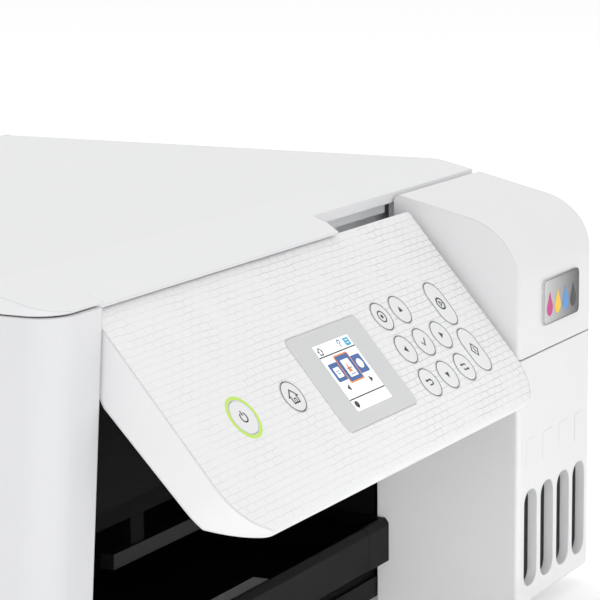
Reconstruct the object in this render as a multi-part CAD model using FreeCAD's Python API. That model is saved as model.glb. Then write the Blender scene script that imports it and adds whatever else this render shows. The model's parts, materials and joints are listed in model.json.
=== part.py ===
import FreeCAD, Part
import math
import os

# An inkjet printer with a front ink-tank unit, a tilting control panel and a flatbed
# scanner lid. Millimetres, +Z up, front towards -Y, left side at -X. The sections are laid
# out from a reference plane 114 mm behind the front bay opening, and every solid is moved
# along Y at export, so that the origin lies under the middle of the resting printer.
V = FreeCAD.Vector
X_AXIS = V(1, 0, 0)
Y_AXIS = V(0, 1, 0)
Z_AXIS = V(0, 0, 1)

# Overall sizes
WIDTH = 375.0
HEIGHT = 187.0
CASE_BACK = 167.0
TANK_FRONT = -180.0
LEFT = -WIDTH / 2
RIGHT = WIDTH / 2

# Walls and clearances
WALL = 3.0
SKIN = 2.5
GAP = 0.5
SEAM = 0.6
PIN_FIT = 0.05

# Feet and pan
FOOT_HEIGHT = 6.0
FOOT_RADIUS = 8.0
PAN_RIM = 12.0
CASE_BOTTOM = FOOT_HEIGHT
PAN_TOP = CASE_BOTTOM + WALL

# Left column of the case
COLUMN_WIDTH = 28.8
COLUMN_RIGHT = LEFT + COLUMN_WIDTH
COLUMN_FRONT_TOP = -136.5
COLUMN_FRONT_BOTTOM = -126.0
COLUMN_RADIUS = 12.0
CASE_TOP = HEIGHT - 9.0
COLUMN_BACK = -114.0

# Tank unit at the front right
TANK_WIDTH = 85.5
TANK_LEFT = RIGHT - TANK_WIDTH
TANK_BOTTOM = 9.0
TANK_SEAM = 115.0
TANK_BACK = -121.5
TANK_WALL_BACK = -114.4
TANK_LEFT_RADIUS = 2.0
TANK_RIGHT_RADIUS = 7.0
TANK_LOWER_RADIUS = 9.0
TANK_WALL_LOW = 3.0
TANK_TAPER = 8.0
TANK_COUNT = 4
TANK_PITCH = 18.6
TANK_BODY_WIDTH = 17.0
FIRST_TANK_OFFSET = 13.3
WINDOW_WIDTH = 14.4
WINDOW_LOW = 15.7
WINDOW_HIGH = 57.5
WINDOW_ROUND = 6.0
WINDOW_DEPTH = 4.2
WINDOW_MARGIN = 2.0
PLAQUE_WIDTH = 11.0
PLAQUE_LOW = 68.0
PLAQUE_HIGH = 80.0
PLAQUE_RAISE = 0.15
TANK_TOP = 110.0
BADGE_WIDTH = 41.0
BADGE_HEIGHT = 19.5
BADGE_LOW = 126.0
BADGE_THICK = 0.9

# Tank cover and the hinged caps of the tanks
COVER_AXIS = (-125.0, HEIGHT - 7.5)
COVER_REAR = -122.2
COVER_ROUND = 2.6
COVER_RING = 1.6
COVER_PIN = 0.8
COVER_ARM_INSET = 14.0
CAP_Y = -152.0
CAP_AXIS_Y = -141.5
CAP_AXIS_Z = 118.5
CAP_BASE = 116.0
WELL_RADIUS = 1.9

# Slope shared by the lid and the tank cover
FLAT_EDGE = -104.0
SLOPE = 0.24
NOSE_RADIUS = 30.0

# Lid
RIM = HEIGHT - 8.4
LID_FRONT = -135.5
LID_LIP_FRONT = -132.6
LID_LIP_THICK = 1.4
LID_LIP_SHELF = (6.0, HEIGHT - 9.6)
LID_LIP_BROW = 12.0
LID_LIP_EDGE = HEIGHT - 9.9
LID_LIP_MIDDLE = (5.0, HEIGHT - 6.5)
LID_LIP_LOW = HEIGHT - 10.7
LID_TANK_EDGE = -121.4
LID_RADIUS = 12.0
LID_EDGE_RADIUS = 2.0
LID_JOG = 2.7
NOTCH_WIDTH = 73.3
PAD_THICK = 5.9

# Rear hinge, shared by the scanner and the lid
HINGE_Y = 126.0
HINGE_Z = HEIGHT - 8.0
HINGE_ROUND = 8.0
HINGE_RING = 5.5
HINGE_PIN = 2.0
HINGE_X = WIDTH / 2 - 29.5
HINGE_SLOT = 16.0

# Scanner
SCANNER_FRONT = -113.5
SCANNER_BACK = 119.0
SCANNER_DEPTH = 28.0
SCANNER_FLOOR = CASE_TOP - SCANNER_DEPTH
GLASS_THICK = 4.0
SCAN_ROD = 3.0

# Rear feeder
FEEDER_FRONT = 134.5
FEEDER_WALL = 2.5
FLAP_HALF = 120.0
FLAP_AXIS_Y = CASE_BACK - 4.0
FLAP_AXIS_Z = HEIGHT - 4.5
FLAP_THICK = 3.2
FLAP_PIN = 1.5

# Control panel: a plate that leans forward, described by its distance down the face and
# its depth behind the face
PANEL_TILT = 49.68
PANEL_TOP_Y = -130.1
PANEL_TOP_Z = HEIGHT - 10.3
PANEL_LENGTH = 102.2
PANEL_TIP = 97.8
PANEL_LEFT = COLUMN_RIGHT + 1.0
PANEL_RIGHT = TANK_LEFT - 3.4
PANEL_PROFILE = ((0, 0), (PANEL_LENGTH, 0), (82.3, 14.6), (29, 17.7), (10, 13), (1.5, 10))
PANEL_ROUNDS = (2.0, 2.6, 1.5, 6.0, 4.0, 2.0)
PANEL_CORNER = 24.0
PANEL_TOP_CORNER = 3.5
PANEL_AXIS = (4.0, 6.5)
PANEL_PIN = 1.5
PANEL_SLOT = 6.6
PANEL_SLOT_OFFSET = 12.7
PANEL_SKIN = 3.4
PANEL_RING = 2.8
BUTTON_RADIUS = 6.45
BUTTON_DEPTH = 3.0
BUTTON_TRAVEL = 0.5
BUTTON_GAP = 0.2
BUTTON_PROUD = 0.05
PILL_LENGTH = 21.0
PILL_WIDTH = 13.2
POWER_RADIUS = 6.8
LCD_WIDTH = 59.4
LCD_HEIGHT = 42.0
LCD_OFFSET = 127.9
LCD_DOWN = 56.0
LCD_DEPTH = 3.0
LCD_ROUND = 3.0
LCD_FIT = 0.05
PAD_PITCH = 16.75
PAD_ROW = 16.0
PAD_OFFSET = 62.9
PAD_DOWN = 55.8
PILL_OFFSET = 29.0
PILL_DOWN = (43.6, 66.9)
POWER_OFFSET = 42.5
HOME_OFFSET = 80.2

# Output bay and tray
BAY_FRONT = -112.5
BEAM_FRONT = -115.9
BAY_FLOOR = 15.0
BAY_ROOF = 110.0
BAY_BACK = -20.0
FASCIA_Y = -90.0
FASCIA_LOW = 78.0
BAR_LOW = 61.0
BAR_TOP = 67.0
LINER = 2.5
TRAY_FRONT = -121.0
TRAY_LOW = 20.0
TRAY_HIGH = 41.8
TRAY_FLOOR = 3.6
TRAY_CHAMFER = 2.6
TRAY_CHIN = (6.5, 3.4)
EXTENSION_HALF = 79.3
TRAY_LEFT = COLUMN_RIGHT + 3.2
TRAY_RIGHT = TANK_LEFT - 1.0

# Paper stopper in the tray extension
STOPPER_HALF = 32.0
STOPPER_Y = -113.0
STOPPER_Z = TRAY_LOW + TRAY_FLOOR + 5.0

# Screws and sockets of the back panel
SCREW_HEAD = 3.2
SCREW_SINK = 1.6
SCREW_SHANK = 1.5
SCREW_DEPTH = 8.0
SCREW_INSET = 18.0

# Print mechanism
FRAME_HALF = WIDTH / 2 - 35.5
PLATE = 2.0
FRAME_FRONT = -14.0
FRAME_BACK = 98.0
FRAME_TOP = 128.0
ROLLER_Z = 58.0
EXIT_Y = -8.0
EXIT_RADIUS = 5.0
FEED_Y = 44.0
FEED_RADIUS = 7.0
SHAFT = 4.0
RAIL_Y = 56.0
RAIL_THICK = 3.0
RAIL_LOW = 72.0
CARRIAGE_WIDTH = 46.0
CARRIAGE_TOP = 106.0
CARRIAGE_LOW = 67.0
CARRIAGE_REST = TANK_LEFT - 1.5
BELT_Z = 116.0
BELT_WIDTH = 4.0
BELT_THICK = 1.2
PULLEY_RADIUS = 5.0
PULLEY_X = FRAME_HALF - 14.0
MOTOR_RADIUS = 11.0

PANEL_SIN = math.sin(math.radians(PANEL_TILT))
PANEL_COS = math.cos(math.radians(PANEL_TILT))


def box(x0, x1, y0, y1, z0, z1):
    """A block between two opposite corners."""
    return Part.makeBox(x1 - x0, y1 - y0, z1 - z0, V(x0, y0, z0))


def rod(axis, start, length, radius):
    """A cylinder from a point along an axis."""
    return Part.makeCylinder(radius, length, V(*start), axis)


def outline(points, rounds):
    """Edges of a closed shape in the XY plane, each corner rounded to its own radius."""
    corners = [V(u, v, 0) for u, v in points]
    spans = []
    for i, here in enumerate(corners):
        back = (corners[i - 1] - here).normalize()
        ahead = (corners[(i + 1) % len(corners)] - here).normalize()
        if rounds[i] <= 0:
            spans.append((here, None, here))
            continue
        half = back.getAngle(ahead) / 2
        reach = rounds[i] / math.tan(half)
        middle = (back + ahead).normalize()
        nearest = rounds[i] / math.sin(half) - rounds[i]
        spans.append((here + back * reach, here + middle * nearest, here + ahead * reach))
    edges = []
    for i, (start, through, end) in enumerate(spans):
        if through is not None:
            edges.append(Part.Arc(start, through, end).toShape())
        following = spans[(i + 1) % len(spans)][0]
        if end.distanceToPoint(following) > 1e-6:
            edges.append(Part.LineSegment(end, following).toShape())
    return edges


def prism(points, rounds, plane, low, high):
    """Extrude a rounded outline: plane 'yz' runs along X, 'xz' along Y and 'xy' along Z."""
    if not isinstance(rounds, (tuple, list)):
        rounds = [rounds] * len(points)
    face = Part.Face(Part.Wire(outline(points, rounds)))
    if plane == "yz":
        matrix = FreeCAD.Matrix(0, 0, 1, low, 1, 0, 0, 0, 0, 1, 0, 0, 0, 0, 0, 1)
        along = X_AXIS
    elif plane == "xz":
        matrix = FreeCAD.Matrix(1, 0, 0, 0, 0, 0, -1, low, 0, 1, 0, 0, 0, 0, 0, 1)
        along = Y_AXIS
    else:
        matrix = FreeCAD.Matrix(1, 0, 0, 0, 0, 1, 0, 0, 0, 0, 1, low, 0, 0, 0, 1)
        along = Z_AXIS
    return face.transformed(matrix).extrude(along * (high - low))


def rectangle(u0, u1, v0, v1):
    return ((u0, v0), (u1, v0), (u1, v1), (u0, v1))


def joined(shapes):
    """One solid from shapes that share faces or overlap."""
    result = shapes[0].multiFuse(shapes[1:])
    return result.removeSplitter()


def slope_top(y):
    """Height of the sloping top surface in front of the flat part."""
    return HEIGHT - SLOPE * (FLAT_EDGE - y)


def tank_centre(index):
    return TANK_LEFT + FIRST_TANK_OFFSET + index * TANK_PITCH


def panel_point(down, depth):
    """Section place (y, z) of a point on the resting control panel."""
    y = PANEL_TOP_Y - PANEL_COS * down + PANEL_SIN * depth
    z = PANEL_TOP_Z - PANEL_SIN * down - PANEL_COS * depth
    return y, z


def on_panel(shape):
    """Lay a shape drawn as (x, down the face, depth) onto the tilted panel."""
    turned = FreeCAD.Placement(V(0, PANEL_TOP_Y, PANEL_TOP_Z), FreeCAD.Rotation(X_AXIS, 180 + PANEL_TILT))
    return shape.transformed(turned.toMatrix())


def column_front(y_shift):
    """The leaning front edge of the left column, moved back by y_shift."""
    return ((COLUMN_FRONT_TOP + y_shift, CASE_TOP), (COLUMN_FRONT_BOTTOM + y_shift, CASE_BOTTOM))


def column_block(inset, back):
    """Left block of the case with its rounded leaning corner, inset on its outer sides."""
    top, bottom = column_front(inset)
    points = (top, bottom, (back, CASE_BOTTOM), (back, CASE_TOP))
    block = prism(points, 0, "yz", LEFT + inset, COLUMN_RIGHT - inset)
    corner = []
    for edge in block.Edges:
        bounds = edge.BoundBox
        ahead = bounds.YMax < COLUMN_FRONT_BOTTOM + inset + 1
        leaning = bounds.ZLength > 1 and bounds.XLength < 0.01 and ahead
        if leaning and bounds.XMax < LEFT + inset + 0.01:
            corner.append(edge)
    return block.makeFillet(COLUMN_RADIUS - inset, corner)


def main_case():
    """Outer shell with the column, the feeder throat and the fixed hinge arms."""
    shell = column_block(0, COLUMN_BACK + WALL).cut(column_block(WALL, COLUMN_BACK))
    shell = shell.cut(box(LEFT + WALL, COLUMN_RIGHT + 1, COLUMN_BACK, COLUMN_BACK + WALL + 1, 0, HEIGHT))
    shell = shell.cut(box(LEFT + WALL, COLUMN_RIGHT + 1, BEAM_FRONT - GAP, COLUMN_BACK + 1, SCANNER_FLOOR - GAP,
                          HEIGHT))
    left = box(LEFT, LEFT + WALL, COLUMN_BACK, CASE_BACK, CASE_BOTTOM, CASE_TOP)
    right = box(RIGHT - WALL, RIGHT, TANK_BACK, CASE_BACK, CASE_BOTTOM, CASE_TOP)
    front = box(TANK_LEFT + WALL, RIGHT, TANK_BACK, TANK_BACK + WALL, CASE_BOTTOM, CASE_TOP)
    back = box(LEFT, RIGHT, CASE_BACK - WALL, CASE_BACK, CASE_BOTTOM, HEIGHT)
    feeder = box(LEFT, RIGHT, FEEDER_FRONT, FEEDER_FRONT + FEEDER_WALL, SCANNER_FLOOR - 20, HEIGHT)
    cheeks = [box(x, x + WALL, FEEDER_FRONT, CASE_BACK, CASE_TOP - 1, HEIGHT) for x in (LEFT, RIGHT - WALL)]
    decks = [box(LEFT, -FLAP_HALF - SEAM, FEEDER_FRONT, CASE_BACK, HEIGHT - WALL, HEIGHT),
             box(FLAP_HALF + SEAM, RIGHT, FEEDER_FRONT, CASE_BACK, HEIGHT - WALL, HEIGHT)]
    lugs = []
    for side in (-1, 1):
        inner = side * (FLAP_HALF + SEAM)
        outer = inner + side * 5
        lugs.append(box(min(inner, outer), max(inner, outer), FLAP_AXIS_Y - 3, CASE_BACK, FLAP_AXIS_Z - 3, HEIGHT))
    rounds = [rod(X_AXIS, (x, HINGE_Y, HINGE_Z), WALL, HINGE_ROUND) for x in (LEFT, RIGHT - WALL)]
    body = joined([shell, left, right, front, back, feeder] + cheeks + decks + lugs + rounds)
    mouth = FLAP_HALF + SEAM
    body = body.cut(box(-mouth, mouth, FEEDER_FRONT - 1, CASE_BACK + 1, HEIGHT - 6.4, HEIGHT + 1))
    body = body.cut(box(-mouth, mouth, FLAP_AXIS_Y - 1, CASE_BACK + 1, HEIGHT - 12, HEIGHT + 1))
    pin = rod(X_AXIS, (-FLAP_HALF - 6, FLAP_AXIS_Y, FLAP_AXIS_Z), 2 * FLAP_HALF + 12, FLAP_PIN + PIN_FIT)
    body = body.cut(pin)
    for side in (-1, 1):
        centre = side * (HINGE_X - 4)
        arm = box(centre - 3, centre + 3, HINGE_Y, FEEDER_FRONT + 1, HINGE_Z - 5, HINGE_Z + 4)
        arm = arm.fuse(rod(X_AXIS, (centre - 3, HINGE_Y, HINGE_Z), 6, HINGE_RING))
        body = body.fuse(arm.cut(rod(X_AXIS, (centre - 4, HINGE_Y, HINGE_Z), 8, HINGE_PIN + PIN_FIT)))
    for centre in cover_arm_centres():
        body = body.fuse(cover_arm(centre))
    body = body.cut(rod(X_AXIS, (PANEL_LEFT - 5, panel_axis()[0], panel_axis()[1]), 6, PANEL_PIN + PIN_FIT))
    body = body.cut(ac_block()).cut(usb_block())
    for x, z in screw_places():
        body = body.cut(screw(x, z))
        body = body.cut(rod(Y_AXIS, (x, CASE_BACK - SCREW_SINK, z), SCREW_SINK, SCREW_HEAD + 0.4))
    return body


def screw_places():
    half = WIDTH / 2 - SCREW_INSET
    return [(x, z) for x in (-half, half) for z in (CASE_BOTTOM + 24, CASE_TOP - 22)]


def screw(x, z):
    head = rod(Y_AXIS, (x, CASE_BACK - SCREW_SINK, z), SCREW_SINK - 0.2, SCREW_HEAD)
    shank = rod(Y_AXIS, (x, CASE_BACK - SCREW_DEPTH, z), SCREW_DEPTH - SCREW_SINK, SCREW_SHANK)
    return head.fuse(shank)


def case_screws():
    """The four identical back-panel screws, each with a cross recess."""
    shapes = []
    for x, z in screw_places():
        piece = screw(x, z)
        for long_x, long_z in ((2.0, 0.5), (0.5, 2.0)):
            recess = box(x - long_x, x + long_x, CASE_BACK - 1.2, CASE_BACK + 1, z - long_z, z + long_z)
            piece = piece.cut(recess)
        shapes.append(piece)
    return Part.makeCompound(shapes)


def cover_arm_centres():
    return (TANK_LEFT + COVER_ARM_INSET, RIGHT - COVER_ARM_INSET)


def cover_arm(centre):
    """Small arm of the case that carries the tank cover's hinge pin."""
    y, z = COVER_AXIS
    arm = box(centre - 2.7, centre + 2.7, y - 1.0, TANK_BACK + 1, CASE_TOP - 8, CASE_TOP - 2.6)
    arm = arm.fuse(box(centre - 2.7, centre + 2.7, y - 0.9, y + 0.9, CASE_TOP - 8, z))
    arm = arm.fuse(rod(X_AXIS, (centre - 2.7, y, z), 5.4, COVER_RING))
    return arm.cut(rod(X_AXIS, (centre - 3, y, z), 6, COVER_PIN + PIN_FIT))


def panel_axis():
    return panel_point(*PANEL_AXIS)


def ac_block():
    return box(LEFT + 37, LEFT + 65, CASE_BACK - 18, CASE_BACK, 26, 50)


def ac_inlet():
    block = ac_block()
    socket = prism(rectangle(LEFT + 41, LEFT + 61, 30, 46), 3.0, "xz", CASE_BACK - 14, CASE_BACK + 1)
    block = block.cut(socket)
    for x in (LEFT + 47, LEFT + 55):
        block = block.fuse(rod(Y_AXIS, (x, CASE_BACK - 15, 38), 11, 1.2))
    return block


def usb_block():
    return box(RIGHT - 20.1, RIGHT - 6.1, CASE_BACK - 16, CASE_BACK, 60, 74)


def usb_port():
    block = usb_block()
    socket = box(RIGHT - 17.6, RIGHT - 8.6, CASE_BACK - 12, CASE_BACK + 1, 62.5, 71.5)
    tongue = box(RIGHT - 15.0, RIGHT - 11.2, CASE_BACK - 13, CASE_BACK - 5, 65, 67)
    return block.cut(socket).fuse(tongue)


def base_pan():
    outer = box(LEFT + WALL, RIGHT - WALL, COLUMN_BACK, CASE_BACK - WALL, CASE_BOTTOM, PAN_TOP + PAN_RIM)
    inner = box(LEFT + 2 * WALL, RIGHT - 2 * WALL, COLUMN_BACK + WALL, CASE_BACK - 2 * WALL, PAN_TOP,
                PAN_TOP + PAN_RIM + 1)
    pan = outer.cut(inner)
    mouth = box(COLUMN_RIGHT - WALL, TANK_LEFT + WALL, COLUMN_BACK - 1, COLUMN_BACK + WALL + 1, BAY_FLOOR, 40)
    pan = pan.cut(mouth)
    pan = pan.cut(box(LEFT + WALL - 1, COLUMN_RIGHT, COLUMN_BACK - 1, COLUMN_BACK + WALL, PAN_TOP, 40))
    ribs = [box(x - 1, x + 1, COLUMN_BACK + WALL, BAY_BACK, PAN_TOP - 1, BAY_FLOOR) for x in (-100, 0, 60)]
    return joined([pan] + ribs)


def rubber_feet():
    """Four round feet under the pan."""
    places = [(LEFT + 24, CASE_BACK - 22), (RIGHT - 24, CASE_BACK - 22),
              (LEFT + 24, COLUMN_BACK + 12), (RIGHT - 24, COLUMN_BACK + 12)]
    return Part.makeCompound([rod(Z_AXIS, (x, y, 0), FOOT_HEIGHT, FOOT_RADIUS) for x, y in places])


def tank_shape(inset, low, high):
    """Rounded body of the tank unit between two heights, inset on its outer sides."""
    front = TANK_FRONT + inset
    plan = rectangle(TANK_LEFT + inset, RIGHT - inset, front, TANK_BACK)
    plan_rounds = (TANK_LEFT_RADIUS - inset * 0.6, TANK_RIGHT_RADIUS - inset, 0, 0)
    solid = prism(plan, plan_rounds, "xy", low, high)
    face = rectangle(TANK_LEFT + inset, RIGHT - inset, TANK_BOTTOM + inset, HEIGHT + 20)
    face_rounds = (TANK_LEFT_RADIUS - inset * 0.6, TANK_LOWER_RADIUS - inset, 0, 0)
    return solid.common(prism(face, face_rounds, "xz", TANK_FRONT - 5, TANK_BACK + 5))


def tank_housing():
    body = tank_shape(0, TANK_BOTTOM, TANK_SEAM).cut(tank_shape(WALL, TANK_BOTTOM, TANK_SEAM + 1))
    ear = box(TANK_LEFT, TANK_LEFT + WALL, TANK_BACK - 1, TANK_WALL_BACK, TANK_BOTTOM, TANK_SEAM)
    over = TANK_BOTTOM + WALL
    skirt = ((TANK_FRONT + TANK_TAPER, TANK_BOTTOM), (TANK_FRONT + TANK_TAPER, over), (TANK_WALL_BACK, over),
             (TANK_WALL_BACK, TANK_WALL_LOW))
    body = body.fuse(ear).fuse(prism(skirt, 0, "yz", TANK_LEFT, TANK_LEFT + WALL))
    margin = WINDOW_WIDTH / 2 + WINDOW_MARGIN
    body = body.fuse(box(max(tank_centre(0) - margin, TANK_LEFT + 1), tank_centre(TANK_COUNT - 1) + margin,
                         TANK_FRONT + 1, TANK_FRONT + WINDOW_DEPTH, WINDOW_LOW - 2, WINDOW_HIGH + 2))
    for i in range(TANK_COUNT):
        centre = tank_centre(i)
        slot = rectangle(centre - WINDOW_WIDTH / 2, centre + WINDOW_WIDTH / 2, WINDOW_LOW, WINDOW_HIGH)
        body = body.cut(prism(slot, WINDOW_ROUND, "xz", TANK_FRONT - 1, TANK_FRONT + WALL + 3))
        plaque = rectangle(centre - PLAQUE_WIDTH / 2, centre + PLAQUE_WIDTH / 2, PLAQUE_LOW, PLAQUE_HIGH)
        body = body.fuse(prism(plaque, 1.5, "xz", TANK_FRONT - PLAQUE_RAISE, TANK_FRONT + 1))
    return body


def ink_windows():
    """Dark clear strip behind the four level slots."""
    first = tank_centre(0) - WINDOW_WIDTH / 2 - 1
    last = tank_centre(TANK_COUNT - 1) + WINDOW_WIDTH / 2 + 1
    front = TANK_FRONT + WINDOW_DEPTH
    return box(max(first, TANK_LEFT + WALL + 1), last, front, front + 1.5, WINDOW_LOW - 1.5, WINDOW_HIGH + 2)


def ink_tank(index):
    centre = tank_centre(index)
    half = TANK_BODY_WIDTH / 2
    body = box(centre - half, centre + half, TANK_FRONT + 8, TANK_BACK - 3, TANK_BOTTOM + 6, TANK_TOP)
    keel = box(centre - 4, centre + 4, TANK_FRONT + 20, TANK_BACK - 10, TANK_BOTTOM + WALL, TANK_BOTTOM + 7)
    port = rod(Z_AXIS, (centre, CAP_Y, TANK_TOP - 1), CAP_BASE - TANK_TOP + 1, 5.0)
    post = box(centre - 3, centre + 3, CAP_AXIS_Y - 1.5, CAP_AXIS_Y + 1.5, TANK_TOP - 1, CAP_AXIS_Z + 1.5)
    body = joined([body, keel, port, post])
    bore = rod(X_AXIS, (centre - 4, CAP_AXIS_Y, CAP_AXIS_Z), 8, 1.0 + PIN_FIT)
    well = rod(Z_AXIS, (centre, CAP_Y, TANK_TOP - 20), 60, WELL_RADIUS)
    return body.cut(bore).cut(well)


def ink_cap(index):
    centre = tank_centre(index)
    cap = rod(Z_AXIS, (centre, CAP_Y, CAP_BASE + 0.3), 4.5, 6.5)
    lugs = []
    for side in (-1, 1):
        inner = centre + side * 3.4
        outer = centre + side * 5.2
        lugs.append(box(min(inner, outer), max(inner, outer), CAP_Y + 3, CAP_AXIS_Y + 1.5, CAP_AXIS_Z - 1.5,
                        CAP_AXIS_Z + 1.5))
    pin = rod(X_AXIS, (centre - 5.2, CAP_AXIS_Y, CAP_AXIS_Z), 10.4, 1.0)
    return joined([cap, pin] + lugs)


def cover_outline(inset):
    """Section of the tank cover: upright nose, round brow, slope and rounded rear edge."""
    front = TANK_FRONT + inset
    rear = COVER_REAR
    drop = inset / math.cos(math.atan(SLOPE))
    low = TANK_SEAM + SEAM
    brow = slope_top(front) - drop
    crown = slope_top(rear) - drop
    return ((front, low - inset), (front, brow), (rear, crown), (rear, low - inset))


def tank_cover():
    rounds = (0, NOSE_RADIUS, COVER_ROUND, 0)
    outer = prism(cover_outline(0), rounds, "yz", TANK_LEFT, RIGHT)
    outer = outer.common(tank_shape(0, TANK_SEAM, HEIGHT + 10))
    points = list(cover_outline(SKIN))
    points[2] = (COVER_REAR + 5, slope_top(COVER_REAR + 5) - SKIN / math.cos(math.atan(SLOPE)))
    points[3] = (COVER_REAR + 5, points[3][1])
    inner = prism(points, (0, NOSE_RADIUS - SKIN, 0, 0), "yz", TANK_LEFT + SKIN, RIGHT - SKIN)
    shell = outer.cut(inner)
    y, z = COVER_AXIS
    for centre in cover_arm_centres():
        shell = shell.cut(rod(X_AXIS, (centre - 3.0, y, z), 6.0, COVER_RING + 0.3))
        shell = shell.cut(box(centre - 3.0, centre + 3.0, y - COVER_RING - 0.3, COVER_REAR + 1, z - 8, z))
        for side in (-1, 1):
            near = centre + side * 3.0
            far = centre + side * 5.0
            boss = box(min(near, far), max(near, far), y - 2.6, COVER_REAR - 0.2, z - 3.0, z + 0.6)
            shell = shell.fuse(boss)
        shell = shell.fuse(rod(X_AXIS, (centre - 5.0, y, z), 10.0, COVER_PIN))
    return shell


def badge():
    """Plain rounded plate on the front of the tank cover."""
    middle = (TANK_LEFT + RIGHT) / 2 + 1.8
    plate = rectangle(middle - BADGE_WIDTH / 2, middle + BADGE_WIDTH / 2, BADGE_LOW, BADGE_LOW + BADGE_HEIGHT)
    return prism(plate, 2.5, "xz", TANK_FRONT - BADGE_THICK, TANK_FRONT)


def document_lid():
    rear = HINGE_Y + HINGE_ROUND
    section = ((LID_FRONT, RIM), (LID_FRONT, slope_top(LID_FRONT)), (FLAT_EDGE, HEIGHT), (rear, HEIGHT),
               (rear, RIM))
    lid = prism(section, (0, 0.5, 0, HINGE_ROUND - 0.01, 0), "yz", LEFT, RIGHT)
    face = rectangle(LEFT, RIGHT, RIM, HEIGHT)
    lid = lid.common(prism(face, (0, 0, LID_EDGE_RADIUS, LID_EDGE_RADIUS), "xz", LID_FRONT - 1, rear + 1))
    jog = COLUMN_RIGHT + LID_JOG
    notch_right = TANK_LEFT - GAP
    notch_left = notch_right - NOTCH_WIDTH
    plan = ((LEFT, LID_FRONT), (jog, LID_FRONT), (jog, LID_LIP_FRONT), (notch_left, LID_LIP_FRONT),
            (notch_left, LID_TANK_EDGE), (RIGHT, LID_TANK_EDGE), (RIGHT, rear), (LEFT, rear))
    lid = lid.common(prism(plan, (LID_RADIUS, 0.5, 0.5, 0.6, 1.5, 0, 0, 0), "xy", RIM - 1, HEIGHT + 1))
    front = LID_LIP_FRONT
    shelf, shelf_low = LID_LIP_SHELF
    lid = lid.fuse(box(jog, notch_left, front, front + LID_LIP_THICK, LID_LIP_LOW, RIM + 0.2))
    lid = lid.fuse(box(jog, notch_left, front, front + shelf, shelf_low, RIM + 0.2))
    brow = front + LID_LIP_BROW
    middle, middle_z = LID_LIP_MIDDLE
    shaved = ((front - 1, LID_LIP_EDGE), (front, LID_LIP_EDGE), (front + middle, middle_z),
              (brow, slope_top(brow)), (brow, HEIGHT + 2), (front - 1, HEIGHT + 2))
    lid = lid.cut(prism(shaved, 0, "yz", jog, notch_left + 1))
    lid = lid.cut(box(LEFT + 8, RIGHT - 8, SCANNER_FRONT + 4, HINGE_Y - 16, RIM - 1, RIM + PAD_THICK))
    for side in (-1, 1):
        near = side * (HINGE_X - HINGE_SLOT / 2)
        far = side * (HINGE_X + HINGE_SLOT / 2)
        lid = lid.cut(box(min(near, far), max(near, far), SCANNER_BACK - 1.5, rear + 1, RIM - 1, HEIGHT + 1))
        lid = lid.fuse(rod(X_AXIS, (min(near, far) - 1, HINGE_Y, HINGE_Z), HINGE_SLOT + 2, HINGE_PIN))
    for x in (LEFT - 1, RIGHT - WALL - GAP):
        lid = lid.cut(rod(X_AXIS, (x, HINGE_Y, HINGE_Z), WALL + GAP + 1, HINGE_ROUND + 0.4))
    return lid


def lid_pad():
    """White foam sheet that presses the page onto the glass."""
    pad = rectangle(LEFT + 9, RIGHT - 9, SCANNER_FRONT + 5, HINGE_Y - 17)
    return prism(pad, 4.0, "xy", RIM + 0.2, RIM + PAD_THICK)


def scanner_tray():
    half = WIDTH / 2 - WALL - GAP
    outer = box(-half, half, SCANNER_FRONT, SCANNER_BACK, SCANNER_FLOOR, CASE_TOP)
    ledge = box(COLUMN_RIGHT + 3, TANK_LEFT - 2, SCANNER_FRONT - 5.5, SCANNER_FRONT + 1, CASE_TOP - 3.5,
                CASE_TOP)
    inner = box(-half + WALL, half - WALL, SCANNER_FRONT + WALL, SCANNER_BACK - WALL, SCANNER_FLOOR + SKIN,
                CASE_TOP - WALL)
    tray = outer.fuse(ledge).cut(inner)
    tray = tray.cut(glass_block(CASE_TOP - WALL - 1, CASE_TOP + 1, -3.0))
    tray = tray.cut(glass_block(CASE_TOP - GLASS_THICK + 2, CASE_TOP + 1, 0))
    tray = tray.fuse(rod(X_AXIS, (-half + 1, 3, SCANNER_FLOOR + 11), 2 * half - 2, SCAN_ROD))
    for side in (-1, 1):
        centre = side * (HINGE_X + 4)
        ear = box(centre - 3, centre + 3, SCANNER_BACK - 1, HINGE_Y, CASE_TOP - 6, HINGE_Z + 3)
        ear = ear.fuse(rod(X_AXIS, (centre - 3, HINGE_Y, HINGE_Z), 6, HINGE_RING))
        ear = ear.cut(rod(X_AXIS, (centre - 4, HINGE_Y, HINGE_Z), 8, HINGE_PIN + PIN_FIT))
        tray = tray.fuse(ear)
    return tray


def glass_block(low, high, inset):
    front = SCANNER_FRONT + 13.5 - inset
    return box(LEFT + 27.5 - inset, RIGHT - 67.5 + inset, front, SCANNER_BACK - 9 + inset, low, high)


def scan_glass():
    return glass_block(CASE_TOP - GLASS_THICK + 2, CASE_TOP, 0)


def scan_bar():
    """Long carriage that carries the scan lamp under the glass."""
    x = LEFT + 10
    bar = box(x, x + 20, SCANNER_FRONT + 9, SCANNER_BACK - 8, SCANNER_FLOOR + 5, CASE_TOP - 5)
    groove = box(x + 6, x + 14, SCANNER_FRONT + 14, SCANNER_BACK - 13, CASE_TOP - 7, CASE_TOP)
    bore = rod(X_AXIS, (x - 1, 3, SCANNER_FLOOR + 11), 22, SCAN_ROD + PIN_FIT)
    return bar.cut(groove).cut(bore)


def feeder_hopper():
    """Sloping plate that holds a stack of paper behind the lid."""
    back = CASE_BACK - WALL
    foot = back - 15
    top = FLAP_AXIS_Z - 13
    points = ((back - 3, top), (back, top), (back, top - 8), (foot, 62), (foot - 3, 62), (back - 3, top - 8))
    return prism(points, 0, "yz", -FLAP_HALF + 4, FLAP_HALF - 4)


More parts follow.
